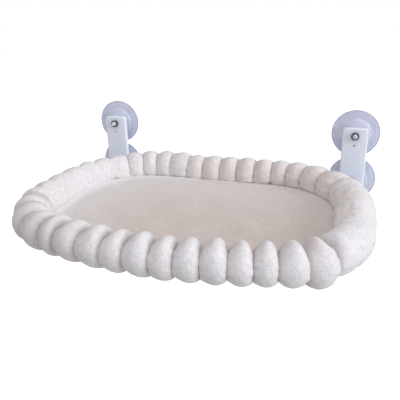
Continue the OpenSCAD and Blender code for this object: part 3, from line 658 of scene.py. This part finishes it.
bolster = {
    # Places in the picture where creases cut the outline: (column, row) round the left end
    # and up its far side, columns alone along the back and along the front
    "endCreases": [(43.5, 249.5), (22, 240.5), (13, 214)],
    "leftCreases": [(21, 197), (33, 188.5), (45.5, 182), (61, 174), (78, 168), (93, 164), (109, 159.5)],
    "backCreases": [126, 143, 158.5, 175, 192, 206.5, 223, 239.5, 256.5, 273.5, 291, 309.5, 330, 351],
    "frontCreases": [334, 306.5, 277.5, 253, 227.5, 200.5, 175, 151, 125.5, 104, 80, 58.5],
    "backFrom": -190, "frontFrom": -260, "leftFrom": -60,  # y, y and x beyond which they lie, mm
    "outline": 0.8,  # share of the radius at which they cut it
    "rightLobes": 8,
    # Depth of a crease as a share of the radius, by angle: 0 is outwards, 90 is up, 180 is inwards
    "depths": {"back": [(-110, 0.06), (-75, 0.2), (0, 0.22), (90, 0.23), (180, 0.2), (215, 0.06)],
               "right": [(-90, 0.06), (0, 0.05), (90, 0.035), (140, 0.04), (180, 0.03)],
               "front": [(-110, 0.08), (-78, 0.3), (-60, 0.29), (0, 0.25), (40, 0.32), (80, 0.57), (125, 0.6),
                         (160, 0.4), (195, 0.1)],
               "end": [(-110, 0.04), (-75, 0.24), (0, 0.24), (50, 0.3), (90, 0.34), (120, 0.24), (150, 0.08),
                       (180, 0.03)],
               "left": [(-110, 0.03), (-75, 0.3), (50, 0.38), (75, 0.28), (100, 0.07), (125, 0.01), (180, 0.01)]},
    "crown": (0.65, 0.35, 2.1),  # shares of a rounded and a parabolic section, and power of the rounded one
    # How far along its lobe each crown leans, mostly to the right; front ones more towards the left end (x in mm)
    "slant": {"back": 0.1, "right": 0.0, "front": -0.1, "end": -0.12, "left": 0.0},
    "leanMore": 1.3, "leanOver": (80, -80),
    "overhang": 7, "overhangFrom": 0.7,  # of a leaning crown over its crease, mm, from this share of the radius
    "varied": {"depth": (0.9, 1.1), "slant": (0.7, 1.3), "swell": (-0.015, 0.015), "drop": (-0.7, 0.7)},
    # The near right corner's lobe is bigger, lower and peaked, and the three after it are lower too
    "corner": {"swell": 0.05, "drop": 6.3, "peak": 0.17, "after": 3, "afterDrop": 1.5},
    "rise": ([110, 130, 150, 183, 200, 300, 318, 345, 362], [0, 1, 3.5, 3, 1, 1, 3, 4, 5]),  # column, mm
    "riseFrom": (-200, -240),  # x and y beyond which lobes rise, mm
    "reach": ([-26, -20.7, -16, -12, -8, -4], [14, 18, 22.5, 25.6, 27.8, 99]),  # inwards, by height, mm
    # Middle and half width of bands round the bolster, degrees
    "bands": {"over": (110, 80), "outerLow": (-5, 105), "crest": (74, 40), "tip": (112, 50),
              "inside": (130, 70), "inner": (150, 80)},
    "dent": (1.2, 27), "tuft": (0.3, 6),  # height and size, mm
    "pucker": 3.8, "gathers": (0.9, 3.2),  # mm, and how many of them along a lobe and round it
    "fold": 1.6, "folds": (1.7, 0.9), "foldSharp": 4.5, "foldShade": 0.3,  # the same, for folds, and the share of painted shade in them
    "foldAt": (190, 230), "foldShares": (0.12, 0.88),  # x of the right end, mm; share everywhere and there
    "around": 72, "along": 16,  # points round it and in a lobe's length
    "seed": 7,
    # Painted shade: how much of the darker tint shows in the creases, on the side of each lobe turned from the
    # lamp and on the left end's outer and top faces, and a painted warm shade inside the bed
    "paintedShade": {
        "lee": (0.25, -0.35),  # place along a lobe where its far side from the lamp begins, and is full
        "leeAll": 0.2, "leeLeft": 0.3, "leeOver": 0.8,  # on that side: everywhere, at the left, over the top
        "backLee": ([-160, 60, 150], [0.3, 1, 0.6]),  # share of that along the back, by x in mm
        "left": (-60, -180), "outerLow": 0.7, "crest": 0.5,  # x in mm, and bands given painted shade there
        "creaseShade": 9, "creaseShadeDepth": 0.25, "creaseShadeMost": 0.6,  # power that keeps the painted shade in a crease narrow, at this depth, and at most
        "warm": ([-150, 50], [0.15, 1]),  # share of the painted warm shade inside the bed, by x in mm
    },
}


def creasePlaces():
    # Lengths on the middle line at which creases lie, by the outline that the camera sees
    s = np.arange(0, lineLength, 0.5)
    centre, out = onLine(s)
    place = np.column_stack([centre, np.full(len(s), bed["height"])])
    view = place - camera["place"]
    across = np.column_stack([view[:, 2:] * out, -np.sum(view[:, :2] * out, 1)])
    across *= bolster["outline"] * bed["bolster"] / 2 / np.linalg.norm(across, axis=1)[:, None]
    well = inPicture([0, -bed["gap"] - bed["depth"] / 2, bed["height"]])
    one, two = inPicture(place + across), inPicture(place - across)
    farther = np.linalg.norm(one - well, axis=1) > np.linalg.norm(two - well, axis=1)
    edge = np.where(farther[:, None], one, two)
    x, y = centre.T
    inside = {"back": y > bolster["backFrom"], "front": y < bolster["frontFrom"],
              "end": x < bolster["leftFrom"], "left": x < bolster["leftFrom"]}
    ring = []
    for side in inside:
        for spot in bolster[side + "Creases"]:
            off = np.abs(edge[:, 0] - spot) if np.isscalar(spot) else np.linalg.norm(edge - spot, axis=1)
            ring.append((s[np.argmin(np.where(inside[side], off, np.inf))], side))
    ring = sorted(ring)
    split = [side for _, side in ring].index("front")
    between = np.linspace(ring[split - 1][0], ring[split][0], bolster["rightLobes"] + 1)[1:-1]
    return sorted(ring + [(p, "right") for p in between])


def softNoise(points, size, shift):
    # Smooth lumps of that size; the shift picks other ones
    return np.array([noise.noise(Vector(p) / size + Vector((shift, shift * 0.7, -shift))) for p in points])


def bell(angle, middle, width):
    # 1 at the middle of an angle and 0 from its width on, in degrees
    off = (np.degrees(angle) - middle + 180) % 360 - 180
    return np.where(np.abs(off) < width, 0.5 + 0.5 * np.cos(np.pi * off / width), 0)


def lobeShapes(ring, halfway, angle):
    # Of each lobe: the depth of its crease by angle, then slant, swelling, drop and peak
    rng = np.random.default_rng(bolster["seed"])
    varied, corner = bolster["varied"], bolster["corner"]
    depths = []
    for _, side in ring:
        at, share = zip(*bolster["depths"][side])
        level = np.interp(np.degrees(angle), at, share, period=360)
        level = sum(np.roll(level, k) for k in (-2, -1, 0, 1, 2)) / 5
        depths.append(level * rng.uniform(*varied["depth"]))
    slants = [bolster["slant"][side] * rng.uniform(*varied["slant"]) for _, side in ring]
    for i, (place, side) in enumerate(ring):
        if side == "front":
            slants[i] *= 1 + bolster["leanMore"] * partWay(onLine(place)[0][0], *bolster["leanOver"])
    swell = 1 + rng.uniform(*varied["swell"], len(ring))
    drop = rng.uniform(*varied["drop"], len(ring))
    peak = np.zeros(len(ring))
    first = [side for _, side in ring].index("front")
    swell[first] += corner["swell"]
    drop[first], peak[first] = corner["drop"], corner["peak"]
    drop[first + 1:first + 1 + corner["after"]] = corner["afterDrop"]
    for i, spot in enumerate(halfway):  # along the back they stand a little higher here and there
        if spot[0] > bolster["riseFrom"][0] and spot[1] > bolster["riseFrom"][1]:
            drop[i] -= np.interp(inPicture([*spot, bed["height"]])[0], *bolster["rise"])
    return depths, slants, swell, drop, peak


def makeBolster():
    ring = creasePlaces()
    count, around, along = len(ring), bolster["around"], bolster["along"]
    starts = np.array([place for place, _ in ring])
    ends = np.append(starts[1:], starts[0] + lineLength)
    print("lobes:", count, "lengths in mm:", np.round(ends - starts).astype(int).tolist())
    angle = 2 * np.pi * np.arange(around) / around  # 0 is outwards and a quarter turn is up
    depths, slants, swell, drop, peak = lobeShapes(ring, onLine((starts + ends) / 2)[0], angle)
    over, outerLow, crest, tip = (bell(angle, *bolster["bands"][k]) for k in ("over", "outerLow", "crest", "tip"))
    rounded, hollow, power = bolster["crown"]
    paintedShade, r = bolster["paintedShade"], bed["bolster"] / 2
    rings, paintedShadeRows = [], []
    for i in range(count):
        for j in range(along):
            u = -math.cos(math.pi * j / along)  # rings crowd towards the creases
            s = starts[i] + (ends[i] - starts[i]) * (u + 1) / 2
            v = u - slants[i] * (1 - u * u)
            fall = rounded * (1 - (1 - abs(v) ** power) ** 0.5) + hollow * v * v
            here = i if u < 0 else (i + 1) % count
            other = (i - 1) % count if u < 0 else (i + 1) % count
            share = u ** 4 / 2  # neighbours meet in the same crease
            size = swell[i] * (1 - share) + swell[other] * share
            sunk = drop[i] * (1 - share) + drop[other] * share
            radial = r * size * (1 - depths[here] * fall) * (1 + peak[i] * tip * (1 - abs(u)))
            bulge = slants[i] * bolster["overhang"] * (1 - u * u) * (radial / r - bolster["overhangFrom"])
            centre, out = onLine(s)
            ahead = np.array([out[1], -out[0]])
            rings.append(np.column_stack([
                centre[0] + out[0] * radial * np.cos(angle) + ahead[0] * bulge,
                centre[1] + out[1] * radial * np.cos(angle) + ahead[1] * bulge,
                bed["height"] - sunk + radial * np.sin(angle)]))
            # Painted shade: darker on the side of a lobe turned from the lamp, and on the left end's outer and top
            # faces
            lee = partWay(u * np.sign(slants[i]), *paintedShade["lee"]) if slants[i] else 0
            if ring[i][1] == "back":  # those at the left of the back are evenly lit
                lee *= np.interp(centre[0], *paintedShade["backLee"])
            left = partWay(centre[0], *paintedShade["left"])
            shade = (lee * (paintedShade["leeAll"] + paintedShade["leeLeft"] * left + paintedShade["leeOver"] * over)
                     + left * (paintedShade["outerLow"] * outerLow + paintedShade["crest"] * crest))
            # Painted shade in each crease, darker where the crease is deeper
            creaseShade = abs(u) ** paintedShade["creaseShade"] * (depths[here] / paintedShade["creaseShadeDepth"]) ** 2
            paintedShadeRows.append(np.clip(np.minimum(creaseShade, paintedShade["creaseShadeMost"]) + shade, 0, 1))
    rows = len(rings)
    middle = np.concatenate([np.tile(one.mean(0), (around, 1)) for one in rings])
    points, paintedLightAndShade = np.concatenate(rings), np.concatenate(paintedShadeRows)
    normal = points - middle
    normal /= np.linalg.norm(normal, axis=1)[:, None]
    lengths = np.repeat(np.arange(rows) / along, around)
    turns = np.tile(angle, rows)

    def wrapped(perLobe, perTurn):
        # Places for a noise that has no seam round the bolster
        return np.column_stack([lengths * perLobe, np.cos(turns) * perTurn, np.sin(turns) * perTurn])

    gathers = softNoise(wrapped(*bolster["gathers"]), 1.0, shift=4.4)
    near = np.clip(np.abs(np.cos(np.pi * (lengths % 1))) ** 3, 0, 1)  # gathers run off the creases
    (dent, dentSize), (tuft, tuftSize) = bolster["dent"], bolster["tuft"]
    points = points + normal * (softNoise(points, dentSize, shift=3.1) * dent
                                + gathers * near * bolster["pucker"]
                                + softNoise(points, tuftSize, shift=11.7) * tuft)[:, None]
    # Short folds inside the right end, and fainter ones elsewhere
    atRight = partWay(middle[:, 0], *bolster["foldAt"]) * bell(turns, *bolster["bands"]["inside"])
    folds = softNoise(wrapped(*bolster["folds"]), 1.0, shift=8.1)
    folds = np.clip(1 - bolster["foldSharp"] * np.abs(folds), 0, 1) ** 2
    folds *= bolster["foldShares"][0] + bolster["foldShares"][1] * atRight
    points -= normal * (folds * bolster["fold"])[:, None]
    # Painted shade in the folds
    paintedLightAndShade = np.clip(paintedLightAndShade + bolster["foldShade"] * folds, 0, 1)
    # Its inner side is drawn in below, where the pad and the board lie against it
    flat = points - middle
    reach = np.hypot(flat[:, 0], flat[:, 1]) * np.where(np.cos(turns) < 0, 1, 0)
    limit = np.interp(points[:, 2] - bed["height"], *bolster["reach"])
    wide = reach > limit
    points[wide, :2] = middle[wide, :2] + flat[wide, :2] * (limit[wide] / reach[wide])[:, None]
    piece = skinned("plushBolster", points.reshape(rows, around, 3), endless=True)
    # Painted shade in creases, folds and on sides turned from the lamp, then a painted warm shade on the inner
    # side
    paint(piece, "paintedLightAndShade", paintedLightAndShade)
    paint(piece, "paintedWarmShade", bell(turns, *bolster["bands"]["inner"]) * np.interp(middle[:, 0], *paintedShade["warm"]))
    piece.data.shade_smooth()
    return piece


bolsterPiece = dress(makeBolster(), "bolster_plush", "perch", "bolster")
print("bolster made")

# Bed pad: a thin stuffed mat that fills the well and turns up where the lobes press it

pad = {
    "height": 10.4, "crown": 1.2,  # at its edge, and how much higher its middle is, mm
    "points": 240, "raised": 0.4, "waist": 0.55,  # round it; mm above its lowest; share of its height
    "rings": (1, 0.93, 0.8, 0.6, 0.4, 0.2, 0.02),  # of its top, as shares of the way to the lobes
    "headings": 480, "lowest": -52.0, "highest": -30.0, "levels": 12,  # where the lobes are measured
    "voxel": 5, "pressure": 4, "lift": 1.2, "steps": 20,  # mm, of the stuffing, mm at most, frames
    "held": 2,  # depth below the edge from which the skin is held, mm
    "dent": (0.9, 38), "clear": 0.25,  # height and size of its dents, and room to the lobes, mm
    "turnUp": 17, "upper": (0.2, 0.5),  # width of the edge that turns up, mm; rise of the top skin's normal
    # Height of that edge above the pad, by heading: 0 is to the right and 90 to the glass
    "lip": [(-180, 4.2), (-140, 3.2), (-90, 2.6), (-40, 3.0), (0, 4.2),
            (35, 3.2), (90, 2.4), (145, 3.4), (180, 4.2)],
    # Painted light: paler towards the left wall (x) and the back (y), mm, and on the edge that turns up at the
    # left
    "paleLeft": (-60, -210), "paleBack": (-250, -120), "pale": (0.55, 0.35, 0.45), "leftEdge": -0.3,
}
padHub = np.array([0, -bed["gap"] - bed["depth"] / 2])


def wellWalls(lobes):
    # Distance from the hub to the lobes in mm, by heading and height, without the deep of the creases
    tree = BVHTree.FromPolygons([v.co / mm for v in lobes.data.vertices],
                                [face.vertices[:] for face in lobes.data.polygons])
    levels = np.linspace(pad["lowest"], pad["highest"], pad["levels"])
    walls = np.zeros((pad["headings"], len(levels)))
    for i in range(pad["headings"]):
        turn = 2 * math.pi * i / pad["headings"]
        for j, z in enumerate(levels):
            struck = tree.ray_cast(Vector((*padHub, z)), Vector((math.cos(turn), math.sin(turn), 0)))[3]
            walls[i, j] = struck or walls[i - 1, j]
    lowest = np.minimum.reduce([np.roll(walls, k, axis=0) for k in range(-3, 4)])
    evened = sum(np.roll(lowest, k, axis=0) for k in range(-2, 3)) / 5
    return np.minimum(walls, evened + 1.0) - pad["clear"]  # a crease counts for 1 mm at most


def wallAt(walls, headings, heights):
    # Between the measured headings (radians) and heights (mm)
    row = np.degrees(headings) % 360 / 360 * pad["headings"]
    column = (heights - pad["lowest"]) / (pad["highest"] - pad["lowest"]) * (pad["levels"] - 1)
    column = np.clip(column, 0, pad["levels"] - 1.001)
    i, j = row.astype(int) % pad["headings"], column.astype(int)
    f, g = row - row.astype(int), column - j
    n = (i + 1) % pad["headings"]
    return ((walls[i, j] * (1 - f) + walls[n, j] * f) * (1 - g)
            + (walls[i, j + 1] * (1 - f) + walls[n, j + 1] * f) * g)


def puffed(piece, rim):
    # Stuffing lifts the middle of the top skin, which is held at its rim and below
    rest = np.array([v.co[:] for v in piece.data.vertices])
    held = piece.vertex_groups.new(name="held")
    held.add(np.flatnonzero(rim).tolist(), 1.0, "REPLACE")
    cloth = piece.modifiers.new("stuffing", "CLOTH")
    cloth.settings.use_pressure = True
    cloth.settings.uniform_pressure_force = pad["pressure"]
    cloth.settings.effector_weights.gravity = 0
    cloth.settings.vertex_group_mass = "held"
    cloth.point_cache.frame_start, cloth.point_cache.frame_end = 1, pad["steps"]
    for step in range(1, pad["steps"] + 1):
        bpy.context.scene.frame_set(step)
    applyModifiers(piece)
    bpy.context.scene.frame_set(1)
    piece.vertex_groups.clear()
    moved = np.array([v.co[:] for v in piece.data.vertices]) - rest
    print("pad skin rose by", round(float(moved[:, 2].max()) / mm, 1), "mm before it was scaled")
    moved *= pad["lift"] * mm / max(np.abs(moved).max(), 1e-6)
    piece.data.vertices.foreach_set("co", (rest + moved).ravel())


def makePad(lobes):
    walls = wellWalls(lobes)
    count, low = pad["points"], bed["padBottom"] + pad["raised"]
    turns = 2 * np.pi * np.arange(count) / count
    headings = np.column_stack([np.cos(turns), np.sin(turns)])
    top = low + pad["height"]
    rows = [(pad["rings"][-1], low), (1, low), (1, low + pad["height"] * pad["waist"])]
    rows += [(share, top + pad["crown"] * (1 - share ** 2)) for share in pad["rings"]]
    rings = []
    for share, z in rows:
        reach = wallAt(walls, turns, np.full(count, min(z, top))) * share
        rings.append(np.column_stack([padHub + headings * reach[:, None], np.full(count, z)]))
    piece = skinned("bedPadPlush", rings)
    remesh = piece.modifiers.new("voxels", "REMESH")
    remesh.mode, remesh.voxel_size = "VOXEL", pad["voxel"] * mm
    applyModifiers(piece)

    def placed():
        # Its points in mm, their headings, and how far each is from the lobes
        spots = np.array([v.co[:] for v in piece.data.vertices]) / mm
        away = spots[:, :2] - padHub
        heading = np.arctan2(away[:, 1], away[:, 0])
        return spots, heading, wallAt(walls, heading, spots[:, 2]) - np.hypot(away[:, 0], away[:, 1])

    spots, _, gap = placed()
    puffed(piece, (spots[:, 2] < top - pad["held"]) | (gap < pad["turnUp"] / 2))
    subdivide(piece)

    spots, heading, gap = placed()
    skyward = np.array([v.normal.z for v in piece.data.vertices])
    upper = partWay(skyward, *pad["upper"])
    near = np.clip(1 - gap / pad["turnUp"], 0, 1)
    lip = np.interp(np.degrees(heading), *zip(*pad["lip"]))
    share = upper * np.clip(near * 4, 0, 1)
    spots[:, 2] += share * (np.minimum(top, spots[:, 2].max()) - spots[:, 2])
    dent, dentSize = pad["dent"]
    spots[:, 2] += upper * softNoise(spots, dentSize, shift=5.3) * dent * (1 - near)
    spots[:, 2] = np.clip(spots[:, 2], bed["padBottom"], bed["padTop"]) + upper * lip * near ** 2
    free = wallAt(walls, heading, spots[:, 2])
    edge = (gap < pad["voxel"] * 0.5) | (np.hypot(*(spots[:, :2] - padHub).T) > free)
    spots[edge, :2] = padHub + (np.column_stack([np.cos(heading), np.sin(heading)]) * free[:, None])[edge]
    piece.data.vertices.foreach_set("co", (spots * mm).ravel())
    piece.data.update()
    # Painted light: the pad is drawn paler towards the left wall, the back and its left edge
    toLeft, toBack = partWay(spots[:, 0], *pad["paleLeft"]), partWay(spots[:, 1], *pad["paleBack"])
    byLeft, byBack, byEdge = pad["pale"]
    paint(piece, "paintedLightAndShade", byLeft * toLeft + byBack * toBack * (1 - toLeft)
          + byEdge * near * (np.cos(heading) < pad["leftEdge"]))
    piece.data.shade_smooth()
    return piece


padPiece = dress(makePad(bolsterPiece), "floor_plush", "perch", "bed_pad")
print("bed pad made")

# Cloth under the board, stretched and stitched along its edge

panel = {
    "points": 352, "smooth": 40,  # round it; degrees
    "inset": 13.2, "edge": (0.6, 0.25),  # from the bolster's middle line, and its rounding in and up, mm
    "hem": 7, "turnIn": 3,  # width of the hem, and how much farther in the cloth goes above it, mm
    "stitch": 3.2, "bead": 0.12,  # length and height of a stitch, mm
    "groove": 0.35, "inside": 0.3,  # how far the cloth lies higher at the stitches and inside them, mm
}


def makePanel():
    s = np.linspace(0, lineLength, panel["points"], endpoint=False)
    here, out = onLine(s)
    top, bottom, hem = bed["panelTop"], bed["panelBottom"], panel["hem"]
    inwards, upwards = panel["edge"]
    bead = panel["bead"] * np.abs(np.sin(np.pi * s / panel["stitch"]))
    profile = [  # distance in, height, share of the stitches
        (hem + panel["turnIn"], top, 0), (inwards, top, 0), (0, top - upwards, 0),
        (0, bottom + upwards, 0), (inwards, bottom, 0), (hem - inwards, bottom, 1),
        (hem, bottom + panel["groove"], 1), (hem + inwards, bottom + panel["inside"], 0)]
    piece = skinned("undersideCloth", [
        np.column_stack([here - out * (panel["inset"] + inset), z + stitched * bead])
        for inset, z, stitched in profile])
    smoothBy(piece, panel["smooth"])
    return piece


panelPiece = dress(makePanel(), "cover_cloth", "perch", "bottom_panel")
print("underside cloth made")

# Studio: pale floor, white surroundings and one broad lamp from the right

studio = {
    "floorHeight": -420,  # mm below the middle of the cups
    "floorHalf": 6.0, "aim": (0, -0.2, 0),  # half the floor's width, and where the lamps point, m
    "side": (5.7, -1.6, 2.1), "above": (1.0, -1.6, 4.2), "softbox": 2.6,  # m
    "key": 178, "top": 41, "ambient": 0.59, "floorGlow": 0.85,  # watts and strengths
    "lampColour": "#FAFBFF", "ambientColour": "#F7F4F4", "floorColour": "#CFCFCF",
}


def seenDirectly(tree):
    # 1 for what the camera, metal and glass see, and 0 for the light that falls on the perch
    rays = addNode(tree, "ShaderNodeLightPath").outputs
    seen = rays["Is Camera Ray"]
    for kind in ("Is Glossy Ray", "Is Transmission Ray"):
        both = addNode(tree, "ShaderNodeMath", {0: seen, 1: rays[kind]}, operation="ADD", use_clamp=True)
        seen = both.outputs["Value"]
    return seen


def makeWorld():
    world = bpy.data.worlds.new("whiteStudio")
    bpy.context.scene.world = world
    world.use_nodes = True
    tree = world.node_tree
    tree.nodes.clear()
    ambient = addNode(tree, "ShaderNodeBackground", {
        "Color": linearColour(studio["ambientColour"]), "Strength": studio["ambient"]})
    white = addNode(tree, "ShaderNodeBackground", {"Color": (1, 1, 1, 1), "Strength": 1.0})
    mix = addNode(tree, "ShaderNodeMixShader", {0: seenDirectly(tree), 1: ambient.outputs[0], 2: white.outputs[0]})
    addNode(tree, "ShaderNodeOutputWorld", {"Surface": mix.outputs[0]})


def makeLamp(name, place, energy):
    data = bpy.data.lights.new(name, "AREA")
    data.shape, data.size, data.energy = "SQUARE", studio["softbox"], energy
    data.color = linearColour(studio["lampColour"])[:3]
    lamp = inScene(name, data)
    lamp.location = place
    lamp.rotation_euler = (Vector(studio["aim"]) - lamp.location).to_track_quat("-Z", "Y").to_euler()


def makeFloor():
    # Matte paper that keeps the shadow, and glows only for what sees it directly
    mesh = bpy.data.meshes.new("studioFloor")
    half, z = studio["floorHalf"], studio["floorHeight"] * mm
    mesh.from_pydata([(-half, -half, z), (half, -half, z), (half, half, z), (-half, half, z)], [], [(0, 1, 2, 3)])
    material = bpy.data.materials.new("matteWhiteFloor")
    material.use_nodes = True
    tree = material.node_tree
    tree.nodes.clear()
    paper = addNode(tree, "ShaderNodeBsdfDiffuse", {"Color": linearColour(studio["floorColour"])})
    lift = addNode(tree, "ShaderNodeEmission", {"Color": (1, 1, 1, 1), "Strength": studio["floorGlow"]})
    none = addNode(tree, "ShaderNodeEmission", {"Color": (0, 0, 0, 1), "Strength": 0.0})
    glow = addNode(tree, "ShaderNodeMixShader", {0: seenDirectly(tree), 1: none.outputs[0], 2: lift.outputs[0]})
    both = addNode(tree, "ShaderNodeAddShader", {0: paper.outputs[0], 1: glow.outputs[0]})
    addNode(tree, "ShaderNodeOutputMaterial", {"Surface": both.outputs[0]})
    mesh.materials.append(material)
    return inScene("studioFloor", mesh)


makeWorld()
makeLamp("sideSoftbox", studio["side"], studio["key"])
makeLamp("topSoftbox", studio["above"], studio["top"])
makeFloor()
bpy.context.scene.view_settings.view_transform = "Standard"
print("studio made")
